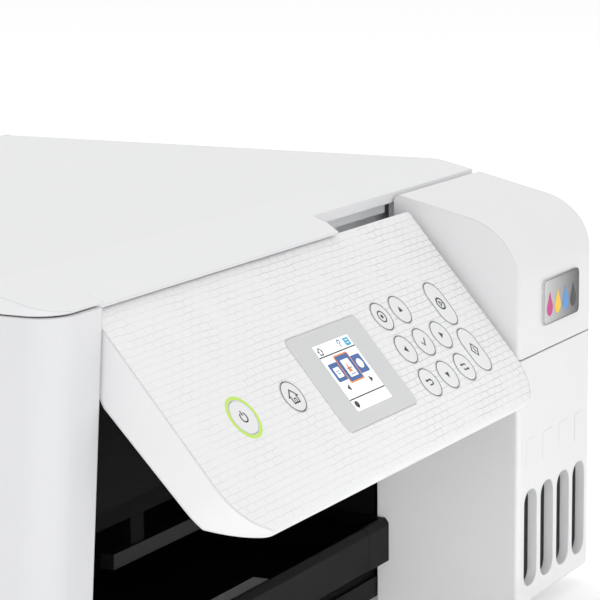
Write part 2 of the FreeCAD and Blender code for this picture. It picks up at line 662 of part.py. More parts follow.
def edge_guide(side):
    """Side guide that follows the slope of the hopper."""
    inner = side * 105.5
    outer = side * 107.5
    back = CASE_BACK - WALL - 3.4
    top = FLAP_AXIS_Z - 15
    front = FEEDER_FRONT + FEEDER_WALL + 0.6
    points = ((front, top), (back, top), (back - 13.4, 80), (front, 80))
    return prism(points, (3.0, 0, 0, 1.5), "yz", min(inner, outer), max(inner, outer))


def paper_support():
    """Flap over the rear feeder that swings back to hold the paper up."""
    front = FEEDER_FRONT + 3
    low = HEIGHT - FLAP_THICK
    plan = rectangle(-FLAP_HALF, FLAP_HALF, front, CASE_BACK - 0.6)
    flap = prism(plan, (2.0, 2.0, 0.5, 0.5), "xy", low, HEIGHT)
    reach = FLAP_HALF - 25
    rail = box(-reach, reach, FLAP_AXIS_Y - 3, FLAP_AXIS_Y + 1, FLAP_AXIS_Z - 1.2, low + 0.5)
    flap = flap.fuse(rail)
    for side in (-1, 1):
        near = side * (FLAP_HALF - 3)
        far = side * FLAP_HALF
        x0 = min(near, far)
        knuckle = box(x0, x0 + 3, FLAP_AXIS_Y - 2, FLAP_AXIS_Y + 2, FLAP_AXIS_Z - 2, low + 0.5)
        start = x0 if side > 0 else x0 - 4
        flap = flap.fuse(knuckle).fuse(rod(X_AXIS, (start, FLAP_AXIS_Y, FLAP_AXIS_Z), 7, FLAP_PIN))
    return flap


def support_extension():
    """Thin slide that comes out from under the flap as it opens."""
    front = FEEDER_FRONT + 4
    top = HEIGHT - FLAP_THICK - 0.3
    plan = rectangle(-60, 60, front, FLAP_AXIS_Y - 4)
    return prism(plan, 3.0, "xy", top - 1.8, top)


def control_panel():
    body = prism(PANEL_PROFILE, PANEL_ROUNDS, "yz", PANEL_LEFT, PANEL_RIGHT)
    plan = rectangle(PANEL_LEFT, PANEL_RIGHT, -1, PANEL_TIP)
    rounds = (PANEL_TOP_CORNER, PANEL_TOP_CORNER, PANEL_CORNER, PANEL_CORNER)
    body = body.common(prism(plan, rounds, "xy", -1, 30))
    for shape in button_outlines().values():
        body = body.cut(button_prism(shape, BUTTON_GAP, -1, BUTTON_DEPTH + 1))
    body = body.cut(lcd_prism(LCD_FIT, -1, LCD_DEPTH))
    down, depth = PANEL_AXIS
    slot = panel_slot_centre()
    half = PANEL_SLOT / 2
    body = body.cut(box(slot - half, slot + half, -1, PANEL_LENGTH * 0.6, PANEL_SKIN, 30))
    body = body.fuse(rod(X_AXIS, (slot - half - 4, down, depth), PANEL_SLOT + 8, PANEL_PIN))
    body = body.fuse(rod(X_AXIS, (PANEL_LEFT - 3, down, depth), 8, PANEL_PIN))
    return on_panel(body)


def panel_slot_centre():
    return PANEL_RIGHT - PANEL_SLOT_OFFSET


def panel_arm():
    """Arm of the bay beam that carries the right-hand hinge pin of the panel."""
    y, z = panel_axis()
    middle = panel_slot_centre()
    half = PANEL_SLOT / 2 - 0.4
    top = SCANNER_FLOOR - 1
    points = ((BEAM_FRONT + 1, top - 22), (BEAM_FRONT + 1, top), (y + 2.4, z + 1.0), (y - 1.2, z - 2.3))
    arm = prism(points, 0, "yz", middle - half, middle + half)
    arm = arm.fuse(rod(X_AXIS, (middle - half, y, z), 2 * half, PANEL_RING))
    return arm.cut(rod(X_AXIS, (middle - half - 1, y, z), 2 * half + 2, PANEL_PIN + PIN_FIT))


def lcd_prism(margin, near, far):
    middle = PANEL_RIGHT - LCD_OFFSET
    half_width = LCD_WIDTH / 2 + margin
    half_height = LCD_HEIGHT / 2 + margin
    plan = rectangle(middle - half_width, middle + half_width, LCD_DOWN - half_height, LCD_DOWN + half_height)
    return prism(plan, LCD_ROUND, "xy", near, far)


def lcd_module():
    return on_panel(lcd_prism(-LCD_FIT, -LCD_FIT, LCD_DEPTH))


def button_outlines():
    """Every button as (x, down the face, half width across X, half length down the face)."""
    pad = PANEL_RIGHT - PAD_OFFSET
    pill = PANEL_RIGHT - PILL_OFFSET
    small = BUTTON_RADIUS
    long_half = PILL_LENGTH / 2
    wide_half = PILL_WIDTH / 2
    return {
        "power": (PANEL_LEFT + POWER_OFFSET, PAD_DOWN, POWER_RADIUS, POWER_RADIUS),
        "home": (PANEL_LEFT + HOME_OFFSET, PAD_DOWN, small, small),
        "help": (pad - PAD_PITCH, PAD_DOWN - PAD_ROW, small, small),
        "up": (pad, PAD_DOWN - PAD_ROW, small, small),
        "left": (pad - PAD_PITCH, PAD_DOWN, small, small),
        "ok": (pad, PAD_DOWN, small, small),
        "right": (pad + PAD_PITCH, PAD_DOWN, small, small),
        "back": (pad - PAD_PITCH, PAD_DOWN + PAD_ROW, small, small),
        "down": (pad, PAD_DOWN + PAD_ROW, small, small),
        "swap": (pad + PAD_PITCH, PAD_DOWN + PAD_ROW, small, small),
        "stop": (pill, PILL_DOWN[0], wide_half, long_half),
        "start": (pill, PILL_DOWN[1], wide_half, long_half),
    }


def button_prism(shape, margin, near, far):
    x, down, half_width, half_length = shape
    across = half_width + margin
    along = half_length + margin
    plan = rectangle(x - across, x + across, down - along, down + along)
    return prism(plan, min(across, along) - 0.01, "xy", near, far)


def button(shape):
    """Cap of one button, almost level with the panel face."""
    cap = button_prism(shape, 0, -BUTTON_PROUD, BUTTON_DEPTH)
    stem = rod(Z_AXIS, (shape[0], shape[1], BUTTON_DEPTH - 0.1), 0.3, 2.0)
    return on_panel(cap.fuse(stem))


def bay_liner():
    """Dark walls of the paper bay, with the beam and the fascia above its mouth."""
    left = COLUMN_RIGHT
    right = TANK_LEFT + WALL
    floor = box(left, right, BAY_FRONT, BAY_BACK, BAY_FLOOR, BAY_FLOOR + LINER)
    roof = box(left, right, BAY_FRONT, BAY_BACK, BAY_ROOF, BAY_ROOF + LINER)
    rear_low = box(left, right, BAY_BACK, BAY_BACK + LINER, BAY_FLOOR, ROLLER_Z - 8)
    rear_high = box(left, right, BAY_BACK, BAY_BACK + LINER, ROLLER_Z + 10, BAY_ROOF + LINER)
    side_left = box(left, left + LINER, BAY_FRONT, BAY_BACK, BAY_FLOOR, BAY_ROOF + LINER)
    side_right = box(right - LINER, right, BAY_FRONT, BAY_BACK, BAY_FLOOR, BAY_ROOF + LINER)
    fascia = box(left, right, FASCIA_Y, FASCIA_Y + 4, FASCIA_LOW, BAY_ROOF + LINER)
    beam = box(left, TANK_LEFT, BEAM_FRONT, BAY_FRONT, BAY_ROOF - 12, SCANNER_FLOOR - 1)
    arms = [box(x - 5, x + 5, FASCIA_Y, FASCIA_Y + 4, BAR_TOP, FASCIA_LOW + 1) for x in (-60, 0, 60)]
    return joined([floor, roof, side_left, side_right, fascia, beam, rear_low, rear_high, panel_arm()] + arms)


def star_wheel_bar():
    """Plain bar that holds the paper down at the exit."""
    return box(-EXTENSION_HALF, EXTENSION_HALF, FASCIA_Y - 1, FASCIA_Y + 5, BAR_LOW, BAR_TOP)


def output_tray():
    front = TRAY_FRONT
    plan = ((TRAY_LEFT, front), (TRAY_RIGHT, front), (TRAY_RIGHT, BAY_BACK - 2), (TRAY_LEFT, BAY_BACK - 2))
    rounds = (2.0, 2.0, 0, 0)
    tray = prism(plan, rounds, "xy", TRAY_LOW, TRAY_HIGH)
    back = BAY_BACK - 2
    side = ((front, TRAY_LOW + TRAY_CHIN[1]), (front, TRAY_HIGH - TRAY_CHAMFER), (front + TRAY_CHAMFER, TRAY_HIGH),
            (back, TRAY_HIGH), (back, TRAY_LOW), (front + TRAY_CHIN[0], TRAY_LOW))
    tray = tray.common(prism(side, 0, "yz", TRAY_LEFT, TRAY_RIGHT))
    wall = front + 4
    well = box(TRAY_LEFT + 2, TRAY_RIGHT - 2.4, wall, BAY_BACK - 1, TRAY_LOW + TRAY_FLOOR, TRAY_HIGH + 1)
    tray = tray.cut(well)
    half = EXTENSION_HALF + 0.3
    tray = tray.cut(box(-half, half, front - 1, wall + 1, TRAY_LOW + TRAY_FLOOR, TRAY_HIGH + 1))
    low_sides = box(TRAY_LEFT - 1, TRAY_RIGHT + 1, -96, BAY_BACK, TRAY_LOW + 14, TRAY_HIGH + 1)
    return tray.cut(low_sides)


def tray_extension():
    half = EXTENSION_HALF
    low = TRAY_LOW + TRAY_FLOOR + 0.3
    plate = box(-half, half, TRAY_FRONT, BAY_BACK - 6, low, low + 2.4)
    wall = ((TRAY_FRONT, low), (TRAY_FRONT, TRAY_HIGH - TRAY_CHAMFER), (TRAY_FRONT + TRAY_CHAMFER, TRAY_HIGH),
            (TRAY_FRONT + 3.4, TRAY_HIGH), (TRAY_FRONT + 3.4, low))
    wall = prism(wall, 0, "yz", -half, half)
    body = plate.fuse(wall)
    for x in (-STOPPER_HALF - 3, STOPPER_HALF):
        ear = box(x, x + 3, STOPPER_Y - 2, STOPPER_Y + 2, low + 2, STOPPER_Z + 2)
        body = body.fuse(ear)
    pin_hole = rod(X_AXIS, (-STOPPER_HALF - 4, STOPPER_Y, STOPPER_Z), 2 * STOPPER_HALF + 8, 1.0 + PIN_FIT)
    return body.cut(pin_hole)


def paper_stopper():
    """Small flap that lies in the extension and swings up to stop the paper."""
    half = STOPPER_HALF - 0.3
    plate = box(-half, half, STOPPER_Y, STOPPER_Y + 22, STOPPER_Z - 1.2, STOPPER_Z + 1.2)
    roll = rod(X_AXIS, (-half, STOPPER_Y, STOPPER_Z), 2 * half, 1.6)
    pin = rod(X_AXIS, (-STOPPER_HALF - 3, STOPPER_Y, STOPPER_Z), 2 * STOPPER_HALF + 6, 1.0)
    return joined([plate, roll, pin])


def main_frame():
    """Sheet-metal frame that carries the rollers and the carriage rail."""
    cheeks = []
    for side in (-1, 1):
        outer = side * FRAME_HALF
        inner = side * (FRAME_HALF - PLATE)
        cheeks.append(box(min(inner, outer), max(inner, outer), FRAME_FRONT, FRAME_BACK, PAN_TOP, FRAME_TOP))
    rear = box(-FRAME_HALF, FRAME_HALF, FRAME_BACK - PLATE, FRAME_BACK, 60, 100)
    frame = joined(cheeks + [rear])
    for y in (EXIT_Y, FEED_Y):
        frame = frame.cut(rod(X_AXIS, (-FRAME_HALF - 1, y, ROLLER_Z), 2 * FRAME_HALF + 2, SHAFT + PIN_FIT))
    return frame


def carriage_rail():
    half = FRAME_HALF - PLATE
    rail = box(-half, half, RAIL_Y, RAIL_Y + RAIL_THICK, RAIL_LOW, FRAME_TOP)
    idler = rod(Y_AXIS, (-PULLEY_X, RAIL_Y - 10, BELT_Z), 11, PULLEY_RADIUS)
    return rail.fuse(idler).cut(rod(Y_AXIS, (PULLEY_X, RAIL_Y - 1, BELT_Z), 10, 2.0 + PIN_FIT))


def platen():
    half = FRAME_HALF - PLATE
    plate = box(-half, half, EXIT_Y + 9, FEED_Y - 11, 50, 53)
    ribs = [box(x - 0.6, x + 0.6, EXIT_Y + 10, FEED_Y - 12, 53, 54.5) for x in range(-100, 101, 25)]
    return joined([plate] + ribs)


def roller(y, radius):
    """Shaft with rubber sleeves across the paper path."""
    half = FRAME_HALF
    shaft = rod(X_AXIS, (-half - 4, y, ROLLER_Z), 2 * half + 8, SHAFT)
    sleeves = [rod(X_AXIS, (x - 18, y, ROLLER_Z), 36, radius) for x in (-96, -32, 32, 96)]
    return joined([shaft] + sleeves)


def carriage():
    """Print-head carriage, parked at the right end of its rail."""
    right = CARRIAGE_REST
    left = right - CARRIAGE_WIDTH
    body = box(left, right, EXIT_Y + 7, RAIL_Y - 0.4, CARRIAGE_LOW, CARRIAGE_TOP)
    bays = []
    for i in range(4):
        x = left + 3 + i * 10.2
        bays.append(box(x, x + 9.4, EXIT_Y + 11, RAIL_Y - 14, CARRIAGE_LOW + 12, CARRIAGE_TOP + 1))
    head = box(left + 8, right - 8, EXIT_Y + 12, RAIL_Y - 24, CARRIAGE_LOW - 3, CARRIAGE_LOW + 1)
    return body.cut(joined(bays)).fuse(head)


def carriage_belt():
    """Toothed belt loop that passes round the drive pulley and the idler."""
    front = RAIL_Y - 9
    loops = []
    for radius in (PULLEY_RADIUS + BELT_THICK, PULLEY_RADIUS):
        reach = PULLEY_X + radius
        plan = rectangle(-reach, reach, BELT_Z - radius, BELT_Z + radius)
        loops.append(prism(plan, radius - 0.005, "xz", front, front + BELT_WIDTH))
    return loops[0].cut(loops[1])


def drive_pulley():
    front = RAIL_Y - 9
    wheel = rod(Y_AXIS, (PULLEY_X, front, BELT_Z), BELT_WIDTH, PULLEY_RADIUS - 0.1)
    flange = rod(Y_AXIS, (PULLEY_X, front - 1.5, BELT_Z), 1.2, PULLEY_RADIUS + 2)
    shaft = rod(Y_AXIS, (PULLEY_X, front - 1.5, BELT_Z), 16, 2.0)
    return joined([wheel, flange, shaft])


def carriage_motor():
    back = RAIL_Y + RAIL_THICK
    motor = rod(Y_AXIS, (PULLEY_X, back, BELT_Z), 26, MOTOR_RADIUS)
    return motor.cut(rod(Y_AXIS, (PULLEY_X, back - 1, BELT_Z), 9, 2.0 + PIN_FIT))


def maintenance_box():
    """Waste-ink box under the parked carriage."""
    left = TANK_LEFT + WALL + 3
    outer = box(left, RIGHT - 12, BAY_BACK - 80, FRAME_FRONT - 2, PAN_TOP, 62)
    return outer.cut(box(left + 3, RIGHT - 15, BAY_BACK - 77, FRAME_FRONT - 5, PAN_TOP + 3, 63))


def power_supply():
    left = LEFT + 37
    body = box(left, left + 48, FRAME_BACK + 4, CASE_BACK - 20, PAN_TOP, 56)
    plug = box(left + 6, left + 22, CASE_BACK - 21, CASE_BACK - 18, 30, 46)
    return body.fuse(plug)


def main_board():
    """Circuit board standing against the right wall."""
    wall = RIGHT - WALL
    board = box(wall - 1.6, wall, 0, 140, 50, 120)
    chips = [box(wall - 4.5, wall - 1.6, y, y + size, z, z + size) for y, z, size in
             ((20, 70, 24), (62, 64, 16), (62, 92, 14), (100, 70, 20))]
    return joined([board] + chips)


def build():
    """Every sub-part by node name."""
    nodes = {
        "main_case": main_case(),
        "base_pan": base_pan(),
        "rubber_feet": rubber_feet(),
        "case_screws": case_screws(),
        "tank_housing": tank_housing(),
        "ink_windows": ink_windows(),
        "tank_cover": tank_cover(),
        "badge": badge(),
        "document_lid": document_lid(),
        "lid_pad": lid_pad(),
        "scanner_tray": scanner_tray(),
        "scan_glass": scan_glass(),
        "scan_bar": scan_bar(),
        "feeder_hopper": feeder_hopper(),
        "edge_guide_left": edge_guide(-1),
        "edge_guide_right": edge_guide(1),
        "paper_support": paper_support(),
        "support_extension": support_extension(),
        "control_panel": control_panel(),
        "lcd_module": lcd_module(),
        "bay_liner": bay_liner(),
        "star_wheel_bar": star_wheel_bar(),
        "output_tray": output_tray(),
        "tray_extension": tray_extension(),
        "paper_stopper": paper_stopper(),
        "main_frame": main_frame(),
        "carriage_rail": carriage_rail(),
        "platen": platen(),
        "feed_roller": roller(FEED_Y, FEED_RADIUS),
        "exit_roller": roller(EXIT_Y, EXIT_RADIUS),
        "carriage": carriage(),
        "carriage_belt": carriage_belt(),
        "drive_pulley": drive_pulley(),
        "carriage_motor": carriage_motor(),
        "maintenance_box": maintenance_box(),
        "power_supply": power_supply(),
        "ac_inlet": ac_inlet(),
        "main_board": main_board(),
        "usb_port": usb_port(),
    }
    for i in range(TANK_COUNT):
        nodes[f"ink_tank_{i + 1}"] = ink_tank(i)
        nodes[f"ink_cap_{i + 1}"] = ink_cap(i)
    for name, shape in button_outlines().items():
        nodes[f"button_{name}"] = button(shape)
    return nodes


def main():
    os.makedirs("parts", exist_ok=True)
    nodes = build()
    front = min(shape.BoundBox.YMin for shape in nodes.values())
    back = max(shape.BoundBox.YMax for shape in nodes.values())
    shift = V(0, -(front + back) / 2, 0)
    for name, shape in nodes.items():
        placed = shape.copy()
        placed.translate(shift)
        placed.exportStep(f"parts/{name}.step")


main()
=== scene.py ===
import json
import math

import bmesh
import bpy
from mathutils import Matrix, Vector

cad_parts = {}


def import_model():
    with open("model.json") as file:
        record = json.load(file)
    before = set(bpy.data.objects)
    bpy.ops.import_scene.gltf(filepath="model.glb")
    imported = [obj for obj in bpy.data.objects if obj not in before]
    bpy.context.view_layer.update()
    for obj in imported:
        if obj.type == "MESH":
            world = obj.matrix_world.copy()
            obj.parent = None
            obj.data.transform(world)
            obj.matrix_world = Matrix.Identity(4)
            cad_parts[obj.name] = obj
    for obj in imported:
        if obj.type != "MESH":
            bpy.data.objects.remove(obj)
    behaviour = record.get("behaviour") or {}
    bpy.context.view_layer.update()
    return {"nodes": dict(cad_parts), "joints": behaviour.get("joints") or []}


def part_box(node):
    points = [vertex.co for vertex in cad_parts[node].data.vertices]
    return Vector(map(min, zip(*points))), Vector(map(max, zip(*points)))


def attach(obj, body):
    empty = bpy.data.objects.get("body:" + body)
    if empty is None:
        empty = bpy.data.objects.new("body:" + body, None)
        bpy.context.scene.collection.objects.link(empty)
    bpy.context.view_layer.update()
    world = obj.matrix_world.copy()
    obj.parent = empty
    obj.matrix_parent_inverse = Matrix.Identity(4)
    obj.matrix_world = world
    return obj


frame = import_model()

NODES = frame["nodes"]
JOINTS = {joint["name"]: joint for joint in frame["joints"]}
MM = 0.001

# The panel's own directions: across, up the slope and out of its face
PANEL_OUT = -Vector(JOINTS["press_ok"]["axis"]).normalized()
PANEL_ACROSS = Vector((1, 0, 0))
PANEL_UP = PANEL_OUT.cross(PANEL_ACROSS).normalized()
PANEL_LEAN = math.atan2(PANEL_UP.z, PANEL_UP.y)

# Surfaces: lengths in millimetres unless they say otherwise
ABS_IOR = 1.53
TONE_DRIFT = 40
GLOSS_DRIFT = 0.06
BRICK_LONG = 6.6
BRICK_TALL = 2.75
BRICK_LINE = 0.15
BRICK_WOBBLE = 9
BRICK_SWAY = 1.5
# size of the patches over which the emboss lines, and their painted groove shade, vary in strength
BRICK_PATCH = 14
FACE_ONLY = 0.985            # cosine above which a surface counts as the panel's face
LINES_FAINT_AT = -0.16       # metres across, where the emboss is faintest
LINES_FULL_AT = 0.10         # metres across, where it is deepest

# Printed marks, painted edge shade and display, in millimetres
# width of the band of painted shade on each key's rim
RIM = 0.32
LINE = 0.6
ARROW = 1.6
KEY_PROUD = 0.05
RING_WIDTH = 1.25
SCREEN_SIZE = 29.4
SCREEN_FILM = 0.04
SCREEN_LAYER = 0.05
SCREEN_RULE = 9.6
DROP_PITCH = 9.0
DROP_SIZE = 3.3

# Stage and camera, in metres
FLOOR_HALF = 6.0
FLOOR_GLOW = 0.16
WORLD_STRENGTH = 0.82
CASE_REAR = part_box("main_case")[1].y
CAMERA_AT = Vector((-0.91756, CASE_REAR - 0.76447, 0.33754))
CAMERA_YAW = math.radians(62.985)
CAMERA_PITCH = math.radians(10.101)
CAMERA_ROLL = math.radians(0.407)
CAMERA_LENS = 161.58


# ---------------------------------------------------------------- materials

def colour(hex_code):
    """sRGB hex to the linear colour that shaders take."""
    parts = [int(hex_code[i:i + 2], 16) / 255 for i in (1, 3, 5)]
    linear = [c / 12.92 if c <= 0.04045 else ((c + 0.055) / 1.055) ** 2.4 for c in parts]
    return (*linear, 1.0)


def add(tree, kind, settings=None, links=None):
    """Adds one node, sets its properties or sockets and links its inputs."""
    made = tree.nodes.new(kind)
    for key, value in (settings or {}).items():
        if isinstance(key, str) and hasattr(made, key):
            setattr(made, key, value)
        else:
            made.inputs[key].default_value = value
    for key, source in (links or {}).items():
        tree.links.new(source, made.inputs[key])
    return made


def start(name, **sockets):
    """A new material with its shader, whose constant values are set on its own sockets."""
    material = bpy.data.materials.new(name)
    material.use_nodes = True
    tree = material.node_tree
    shader = tree.nodes["Principled BSDF"]
    for key, value in sockets.items():
        shader.inputs[key.replace("_", " ")].default_value = value
    place = add(tree, "ShaderNodeTexCoord").outputs["Object"]
    return material, tree, shader, place


def noise(tree, place, size, detail=2.0):
    """Soft noise whose features are about so many millimetres across."""
    made = add(tree, "ShaderNodeTexNoise", {"Scale": 1 / (size * MM), "Detail": detail}, {"Vector": place})
    return made.outputs["Fac"]


def tint(tree, shader, first, second, factor):
    """Mixes two colours by a factor into the surface colour."""
    tone = add(tree, "ShaderNodeMix", {"data_type": "RGBA", 6: first, 7: second}, {"Factor": factor})
    tree.links.new(tone.outputs[2], shader.inputs["Base Color"])
    return tone.outputs[2]


def gloss(tree, shader, low, high, factor):
    """Varies the roughness between two values."""
    made = add(tree, "ShaderNodeMapRange", {"To Min": low, "To Max": high}, {"Value": factor})
    tree.links.new(made.outputs["Result"], shader.inputs["Roughness"])


def times(tree, first, second):
    """The product of two values."""
    return add(tree, "ShaderNodeMath", {"operation": "MULTIPLY"}, {0: first, 1: second}).outputs[0]


def moulded(name, light, dark, grain_mm, relief_mm, roughness, edge_mm=0.0, ior=ABS_IOR, sheen=0.5):
    """Injection-moulded plastic: an even colour, a fine spark-eroded grain and softened edges."""
    material, tree, shader, place = start(name, IOR=ior, Specular_IOR_Level=sheen)
    tint(tree, shader, colour(light), colour(dark), noise(tree, place, TONE_DRIFT))
    grain = noise(tree, place, grain_mm, 3.0)
    gloss(tree, shader, roughness - GLOSS_DRIFT, roughness + GLOSS_DRIFT, grain)
    bump = add(tree, "ShaderNodeBump", {"Strength": 0.5, "Distance": relief_mm * MM}, {"Height": grain})
    if edge_mm:
        softened = add(tree, "ShaderNodeBevel", {"samples": 4, "Radius": edge_mm * MM})
        tree.links.new(softened.outputs["Normal"], bump.inputs["Normal"])
    tree.links.new(bump.outputs["Normal"], shader.inputs["Normal"])
    return material


def panel_abs():
    """White moulded ABS, its face embossed with fine lines in running bond that fade in random patches and
    towards one side; the lines are also coloured darker as painted shade in their grooves.
    """
    material, tree, shader, place = start("moulded_abs_brick_emboss", IOR=ABS_IOR)
    turned = add(tree, "ShaderNodeVectorRotate",
                 {"rotation_type": "X_AXIS", "Angle": -PANEL_LEAN}, {"Vector": place})
    in_mm = add(tree, "ShaderNodeVectorMath",
                {"operation": "SCALE", "Scale": 1 / MM}, {0: turned.outputs["Vector"]})
    wobble = add(tree, "ShaderNodeTexNoise", {"Scale": 1 / (BRICK_WOBBLE * MM)}, {"Vector": place})
    sway = add(tree, "ShaderNodeVectorMath",
               {"operation": "SCALE", "Scale": BRICK_SWAY}, {0: wobble.outputs["Color"]})
    route = add(tree, "ShaderNodeVectorMath",
                {"operation": "ADD"}, {0: in_mm.outputs[0], 1: sway.outputs[0]})
    bricks = add(tree, "ShaderNodeTexBrick",
                 {"offset": 0.5, "Scale": 1.0, "Mortar Size": BRICK_LINE, "Mortar Smooth": 0.3,
                  "Brick Width": BRICK_LONG, "Row Height": BRICK_TALL},
                 {"Vector": route.outputs[0]})
    normal = add(tree, "ShaderNodeTexCoord").outputs["Normal"]
    facing = add(tree, "ShaderNodeVectorMath", {"operation": "DOT_PRODUCT", 1: PANEL_OUT}, {0: normal})
    front = add(tree, "ShaderNodeMath",
                {"operation": "GREATER_THAN", 1: FACE_ONLY}, {0: facing.outputs["Value"]})
    depth = add(tree, "ShaderNodeMapRange",
                {"From Min": 0.35, "From Max": 0.65, "To Min": 0.35, "To Max": 1.0},
                {"Value": noise(tree, place, BRICK_PATCH, 3.0)})
    spread = add(tree, "ShaderNodeSeparateXYZ", links={"Vector": place})
    across = add(tree, "ShaderNodeMapRange",
                 {"From Min": LINES_FAINT_AT, "From Max": LINES_FULL_AT, "To Min": 0.35, "To Max": 1.0},
                 {"Value": spread.outputs["X"]})
    groove = times(tree, bricks.outputs["Fac"], front.outputs[0])
    line_strength = times(tree, depth.outputs["Result"], across.outputs[0])
    shown = times(tree, groove, line_strength)
    # Painted shade: the emboss lines are coloured darker (#b9babe) than the face (#ececed), as if shade lay
    # in their grooves
    tint(tree, shader, colour("#ececed"), colour("#b9babe"), shown)
    grain = noise(tree, place, 0.9, 3.0)
    gloss(tree, shader, 0.34, 0.52, grain)
    softened = add(tree, "ShaderNodeBevel", {"samples": 4, "Radius": 1.6 * MM})
    pits = add(tree, "ShaderNodeBump", {"Strength": 0.35, "Distance": 0.05 * MM},
               {"Height": grain, "Normal": softened.outputs["Normal"]})
    lines = add(tree, "ShaderNodeBump", {"Strength": 0.6, "Distance": 0.12 * MM, "invert": True},
                {"Height": shown, "Normal": pits.outputs["Normal"]})
    tree.links.new(lines.outputs["Normal"], shader.inputs["Normal"])
    return material


def badge_metal(low, high):
    """Brushed aluminium badge: the brushing streaks the light, and a painted reflection darkens the colour
    towards the badge's +X side.
    """
    material, tree, shader, place = start("brushed_aluminium_painted_reflection", Metallic=0.35, Roughness=0.4)
    parts = add(tree, "ShaderNodeSeparateXYZ", links={"Vector": place})
    side = add(tree, "ShaderNodeMapRange", {"From Min": low.x, "From Max": high.x},
               {"Value": parts.outputs["X"]})
    # Painted reflection and shade: pale (#dcdcdd) at the badge's -X edge, dark (#4c4c4e) at its +X edge
    tone = add(tree, "ShaderNodeMix", {"data_type": "RGBA", 6: colour("#dcdcdd"), 7: colour("#4c4c4e")},
               {"Factor": side.outputs["Result"]})
    streak = add(tree, "ShaderNodeMapping", {"Scale": (20, 1, 1 / (0.3 * MM))}, {"Vector": place})
    brush = add(tree, "ShaderNodeTexNoise", {"Scale": 1.0, "Detail": 2.0}, {"Vector": streak.outputs[0]})
    mixed = add(tree, "ShaderNodeMix", {"data_type": "RGBA", "blend_type": "MULTIPLY", "Factor": 0.25},
                {6: tone.outputs[2], 7: brush.outputs["Fac"]})
    tree.links.new(mixed.outputs[2], shader.inputs["Base Color"])
    bump = add(tree, "ShaderNodeBump", {"Strength": 0.2, "Distance": 0.02 * MM},
               {"Height": brush.outputs["Fac"]})
    tree.links.new(bump.outputs["Normal"], shader.inputs["Normal"])
    return material


def printed(name, hex_code, glow=0.0, roughness=0.4):
    """Pad-printed ink, a band of painted edge shade or a lit display area: flat to the eye, with a trace of
    unevenness in the film.
    """
    material, tree, shader, place = start(name, IOR=1.5, Roughness=roughness)
    pale = tuple(min(1.0, c * 1.06 + 0.004) for c in colour(hex_code)[:3]) + (1.0,)
    tone = tint(tree, shader, colour(hex_code), pale, noise(tree, place, 2.5))
    if glow:
        tree.links.new(tone, shader.inputs["Emission Color"])
        shader.inputs["Emission Strength"].default_value = glow
    return material


def zinc_steel():
    """Zinc-plated sheet steel: faint spangle and a soft metallic sheen."""
    material, tree, shader, place = start("zinc_plated_steel", Metallic=1.0)
    scales = add(tree, "ShaderNodeTexVoronoi", {"Scale": 1 / (6 * MM)}, {"Vector": place})
    spangle = scales.outputs["Distance"]
    tint(tree, shader, colour("#b9bcc0"), colour("#8f9398"), spangle)
    gloss(tree, shader, 0.28, 0.45, spangle)
    return material


def float_glass():
    """Float glass of the scanner: clear, faintly green and polished."""
    material, tree, shader, place = start("float_glass", IOR=1.52, Alpha=0.35)
    smear = noise(tree, place, 60)
    gloss(tree, shader, 0.03, 0.09, smear)
    tint(tree, shader, colour("#dfe9e4"), colour("#cfdcd5"), smear)
    return material


def circuit_board():
    """Green solder mask over copper tracks, which show as slightly paler lanes."""
    material, tree, shader, place = start("solder_mask", IOR=1.5, Roughness=0.3)
    lanes = add(tree, "ShaderNodeTexBrick",
                {"Scale": 1 / (10 * MM), "Mortar Size": 0.03, "Color1": colour("#0e4a26"),
                 "Color2": colour("#115530"), "Mortar": colour("#1f6d42")},
                {"Vector": place})
    tree.links.new(lanes.outputs["Color"], shader.inputs["Base Color"])
    return material


